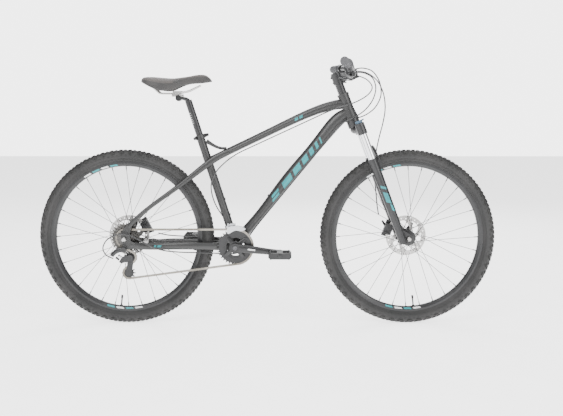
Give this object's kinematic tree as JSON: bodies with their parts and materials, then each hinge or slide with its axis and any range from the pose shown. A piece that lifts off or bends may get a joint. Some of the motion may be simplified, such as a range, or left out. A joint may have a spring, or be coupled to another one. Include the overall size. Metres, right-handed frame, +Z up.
{
  "type": "mountain bike",
  "caption": "Hardtail mountain bike with a suspension fork, disc brakes, a riser bar, a padded saddle and derailleur gears.",
  "frame": {"origin": "on the ground, midway between the two axles, in the wheels' centre plane", "axes": "+X forward, +Y to the rider's left, +Z up"},
  "size_m": [1.7937, 0.7272, 1.0283],
  "materials": {
    "frame_paint": "matte black",
    "black_alloy": "satin black",
    "steel": "brushed",
    "chrome": "polished",
    "silver_alloy": "satin",
    "tyre": "matte",
    "grip_rubber": "matte",
    "black_plastic": "satin",
    "cable_housing": "satin",
    "saddle_cover": "grained",
    "lockout_blue": "satin"
  },
  "bodies": {
    "frame": {"head_tube": "frame_paint", "top_tube": "frame_paint", "down_tube": "frame_paint", "seat_tube": "frame_paint", "bottom_bracket": "black_alloy", "rear_stays": "frame_paint", "rear_axle": "steel", "front_derailleur_clamp": "silver_alloy", "rear_caliper": "black_alloy", "frame_cables": "cable_housing", "chain": "steel", "derailleur_mount": "black_alloy"},
    "seat_clamp_lever": {"seat_collar_lever": "black_alloy"},
    "rear_quick_release": {"rear_axle_lever": "black_alloy"},
    "rear_wheel": {"rear_tyre": "tyre", "rear_rim": "black_alloy", "rear_spokes": "black_alloy", "rear_hub": "black_alloy", "rear_rotor": "steel"},
    "cassette": {"cassette": "steel"},
    "crank": {"crank_arms": "black_alloy", "chainrings": "black_alloy"},
    "right_pedal": {"pedal_right": "black_plastic"},
    "left_pedal": {"pedal_left": "black_plastic"},
    "front_derailleur": {"front_derailleur_cage": "silver_alloy"},
    "outer_link": {"derailleur_outer_link": "silver_alloy"},
    "inner_link": {"derailleur_inner_link": "black_alloy"},
    "lower_knuckle": {"derailleur_knuckle": "black_alloy"},
    "pulley_cage": {"derailleur_cage": "black_alloy"},
    "guide_pulley": {"guide_pulley": "black_plastic"},
    "tension_pulley": {"tension_pulley": "black_plastic"},
    "rear_brake_arm": {"rear_brake_arm": "black_alloy"},
    "steering": {"fork_crown": "black_alloy", "stanchions": "chrome", "fork_spring": "steel", "stem": "black_alloy", "handlebar": "black_alloy", "grips": "grip_rubber", "lever_housings": "black_alloy", "front_brake_cable": "cable_housing"},
    "right_brake_lever": {"brake_lever_right": "black_alloy"},
    "left_brake_lever": {"brake_lever_left": "black_alloy"},
    "right_shift_lever": {"shift_lever_right": "black_plastic"},
    "left_shift_lever": {"shift_lever_left": "black_plastic"},
    "right_release_lever": {"release_lever_right": "black_plastic"},
    "left_release_lever": {"release_lever_left": "black_plastic"},
    "lockout": {"lockout_knob": "lockout_blue"},
    "fork_slider": {"fork_lowers": "black_alloy", "front_axle": "steel", "front_caliper": "black_alloy"},
    "front_quick_release": {"front_axle_lever": "black_alloy"},
    "front_brake_arm": {"front_brake_arm": "black_alloy"},
    "front_wheel": {"front_tyre": "tyre", "front_rim": "black_alloy", "front_spokes": "black_alloy", "front_hub": "black_alloy", "front_rotor": "steel"},
    "seatpost": {"seatpost": "black_alloy"},
    "saddle": {"saddle": "saddle_cover", "saddle_rails": "steel"}
  },
  "joints": [
    {"name": "steering", "type": "hinge", "parent": "frame", "child": "steering", "pos_m": [0.51466, 0, 0.33066], "axis": [-0.3584, 0, 0.9336], "range_deg": [-60, 60], "deforming": ["frame_cables"]},
    {"name": "fork_travel", "type": "slide", "parent": "steering", "child": "fork_slider", "axis": [-0.3584, 0, 0.9336], "range_m": [0, 0.1], "stiffness_N_per_m": 8000, "deforming": ["fork_spring", "front_brake_cable"]},
    {"name": "front_wheel_spin", "type": "hinge", "parent": "fork_slider", "child": "front_wheel", "pos_m": [0.552, 0, 0.345], "axis": [0, 1, 0], "continuous": true},
    {"name": "rear_wheel_spin", "type": "hinge", "parent": "frame", "child": "rear_wheel", "pos_m": [-0.552, 0, 0.345], "axis": [0, 1, 0], "continuous": true},
    {"name": "crank_spin", "type": "hinge", "parent": "frame", "child": "crank", "pos_m": [-0.1226, 0, 0.3114], "axis": [0, 1, 0], "continuous": true, "deforming": ["chain"]},
    {"name": "cassette_spin", "type": "hinge", "parent": "frame", "child": "cassette", "pos_m": [-0.552, 0, 0.345], "axis": [0, 1, 0], "continuous": true},
    {"name": "right_pedal_spin", "type": "hinge", "parent": "crank", "child": "right_pedal", "pos_m": [0.05144, -0.104, 0.29311], "axis": [0, 1, 0], "continuous": true},
    {"name": "left_pedal_spin", "type": "hinge", "parent": "crank", "child": "left_pedal", "pos_m": [-0.29664, 0.104, 0.32969], "axis": [0, 1, 0], "continuous": true},
    {"name": "front_derailleur_swing", "type": "hinge", "parent": "frame", "child": "front_derailleur", "pos_m": [-0.126, -0.035, 0.396], "axis": [1, 0, 0], "range_deg": [-4, 6], "stiffness_Nm_per_rad": 2},
    {"name": "derailleur_shift", "type": "hinge", "parent": "frame", "child": "outer_link", "pos_m": [-0.582, -0.084, 0.292], "axis": [0.6099, 0.2232, 0.7604], "range_deg": [-10, 14]},
    {"name": "inner_link_swing", "type": "hinge", "parent": "frame", "child": "inner_link", "pos_m": [-0.5915, -0.084, 0.283], "axis": [0.6099, 0.2232, 0.7604], "range_deg": [-10, 14]},
    {"name": "knuckle_level", "type": "hinge", "parent": "outer_link", "child": "lower_knuckle", "pos_m": [-0.558, -0.061, 0.266], "axis": [0.6099, 0.2232, 0.7604], "range_deg": [-14, 10]},
    {"name": "cage_tension", "type": "hinge", "parent": "lower_knuckle", "child": "pulley_cage", "pos_m": [-0.533, -0.0471, 0.27], "axis": [0, 1, 0], "range_deg": [-25, 35], "stiffness_Nm_per_rad": 1.5},
    {"name": "guide_pulley_spin", "type": "hinge", "parent": "pulley_cage", "child": "guide_pulley", "pos_m": [-0.533, -0.0471, 0.27], "axis": [0, 1, 0], "continuous": true},
    {"name": "tension_pulley_spin", "type": "hinge", "parent": "pulley_cage", "child": "tension_pulley", "pos_m": [-0.54, -0.0471, 0.209], "axis": [0, 1, 0], "continuous": true},
    {"name": "rear_brake_arm_pull", "type": "hinge", "parent": "frame", "child": "rear_brake_arm", "pos_m": [-0.48313, 0.072, 0.38162], "axis": [0, -1, 0], "range_deg": [0, 24], "stiffness_Nm_per_rad": 0.6},
    {"name": "front_brake_arm_pull", "type": "hinge", "parent": "fork_slider", "child": "front_brake_arm", "pos_m": [0.4787, 0.063, 0.37168], "axis": [0, -1, 0], "range_deg": [0, 24], "stiffness_Nm_per_rad": 0.6},
    {"name": "right_brake_squeeze", "type": "hinge", "parent": "steering", "child": "right_brake_lever", "pos_m": [0.313, -0.186, 0.966], "axis": [-0.9735, 0.1602, -0.1631], "range_deg": [0, 8], "stiffness_Nm_per_rad": 3},
    {"name": "right_shift_push", "type": "hinge", "parent": "steering", "child": "right_shift_lever", "pos_m": [0.312, -0.158, 0.9595], "axis": [0, 0, -1], "range_deg": [0, 32], "stiffness_Nm_per_rad": 0.5},
    {"name": "right_release_push", "type": "hinge", "parent": "steering", "child": "right_release_lever", "pos_m": [0.312, -0.158, 0.9525], "axis": [0, 0, -1], "range_deg": [0, 15], "stiffness_Nm_per_rad": 0.5},
    {"name": "left_brake_squeeze", "type": "hinge", "parent": "steering", "child": "left_brake_lever", "pos_m": [0.313, 0.186, 0.966], "axis": [0.9735, 0.1602, 0.1631], "range_deg": [0, 8], "stiffness_Nm_per_rad": 3},
    {"name": "left_shift_push", "type": "hinge", "parent": "steering", "child": "left_shift_lever", "pos_m": [0.312, 0.158, 0.9595], "axis": [0, 0, 1], "range_deg": [0, 32], "stiffness_Nm_per_rad": 0.5},
    {"name": "left_release_push", "type": "hinge", "parent": "steering", "child": "left_release_lever", "pos_m": [0.312, 0.158, 0.9525], "axis": [0, 0, 1], "range_deg": [0, 15], "stiffness_Nm_per_rad": 0.5},
    {"name": "lockout_turn", "type": "hinge", "parent": "steering", "child": "lockout", "pos_m": [0.35306, -0.062, 0.79349], "axis": [-0.3584, 0, 0.9336], "range_deg": [-90, 0]},
    {"name": "front_release_open", "type": "hinge", "parent": "fork_slider", "child": "front_quick_release", "pos_m": [0.552, 0.0638, 0.345], "axis": [-0.848, 0, 0.5299], "range_deg": [0, 120]},
    {"name": "rear_release_open", "type": "hinge", "parent": "frame", "child": "rear_quick_release", "pos_m": [-0.552, 0.0813, 0.345], "axis": [-0.8829, 0, 0.4695], "range_deg": [0, 150]},
    {"name": "seat_clamp_open", "type": "hinge", "parent": "frame", "child": "seat_clamp_lever", "pos_m": [-0.27859, 0.0227, 0.73184], "axis": [-0.3057, 0, 0.9521], "range_deg": [0, 150]},
    {"name": "seat_height", "type": "slide", "parent": "frame", "child": "seatpost", "axis": [-0.3057, 0, 0.9521], "range_m": [-0.04, 0.03]},
    {"name": "saddle_tilt", "type": "hinge", "parent": "seatpost", "child": "saddle", "pos_m": [-0.341, 0, 0.888], "axis": [0, 1, 0], "range_deg": [-6, 6]}
  ],
  "couplings": [
    {"joint": "cassette_spin", "follows": "crank_spin", "ratio": 2},
    {"joint": "guide_pulley_spin", "follows": "crank_spin", "ratio": -3.0909},
    {"joint": "tension_pulley_spin", "follows": "crank_spin", "ratio": 3.0909},
    {"joint": "inner_link_swing", "follows": "derailleur_shift", "ratio": 1},
    {"joint": "knuckle_level", "follows": "derailleur_shift", "ratio": -1},
    {"joint": "front_brake_arm_pull", "follows": "left_brake_squeeze", "ratio": 3},
    {"joint": "rear_brake_arm_pull", "follows": "right_brake_squeeze", "ratio": 3}
  ]
}
